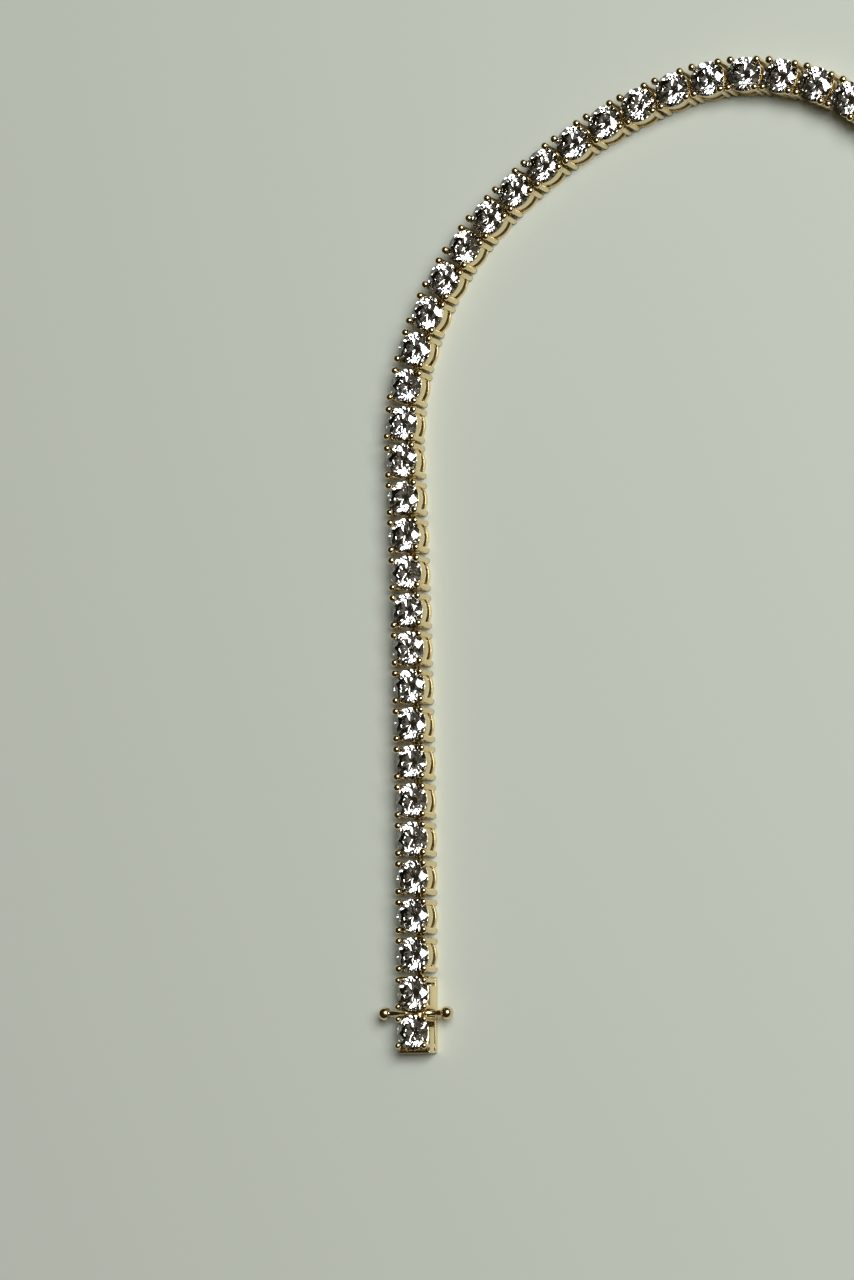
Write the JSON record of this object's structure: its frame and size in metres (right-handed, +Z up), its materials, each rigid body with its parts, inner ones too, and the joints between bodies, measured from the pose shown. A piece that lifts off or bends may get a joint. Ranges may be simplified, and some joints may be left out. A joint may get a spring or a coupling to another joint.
{
  "type": "tennis bracelet",
  "caption": "Open line bracelet of round stones in hinged four-prong yellow gold settings, with a box clasp and two ball-ended push pins.",
  "frame": {"origin": "middle of the underside of the clasp box, between its two stones", "axes": "+Z up from the surface that the bracelet lies on, stones facing up; +Y along the straight run, from the clasp box towards the first link"},
  "size_m": [0.0756, 0.1115, 0.0034],
  "materials": {
    "gold": "polished yellow gold",
    "stone": "cut and polished, colourless"
  },
  "bodies": {
    "bracelet": {"clasp_box": "gold", "clasp_stone_1": "stone", "clasp_stone_2": "stone", "link_01": "gold", "link_02": "gold", "link_03": "gold", "link_04": "gold", "link_05": "gold", "link_06": "gold", "link_07": "gold", "link_08": "gold", "link_09": "gold", "link_10": "gold", "link_11": "gold", "link_12": "gold", "link_13": "gold", "link_14": "gold", "link_15": "gold", "link_16": "gold", "link_17": "gold", "link_18": "gold", "link_19": "gold", "link_20": "gold", "link_21": "gold", "link_22": "gold", "link_23": "gold", "link_24": "gold", "link_25": "gold", "link_26": "gold", "link_27": "gold", "link_28": "gold", "link_29": "gold", "link_30": "gold", "link_31": "gold", "link_32": "gold", "link_33": "gold", "link_34": "gold", "link_35": "gold", "link_36": "gold", "link_37": "gold", "link_38": "gold", "clasp_tongue": "gold"},
    "left_push_pin": {"pusher_left": "gold"},
    "right_push_pin": {"pusher_right": "gold"}
  },
  "joints": [
    {"name": "press_left", "type": "slide", "parent": "bracelet", "child": "left_push_pin", "axis": [1, 0, 0], "range_m": [0, 0.0005], "stiffness_N_per_m": 800},
    {"name": "press_right", "type": "slide", "parent": "bracelet", "child": "right_push_pin", "axis": [-1, 0, 0], "range_m": [0, 0.0005], "stiffness_N_per_m": 800}
  ]
}
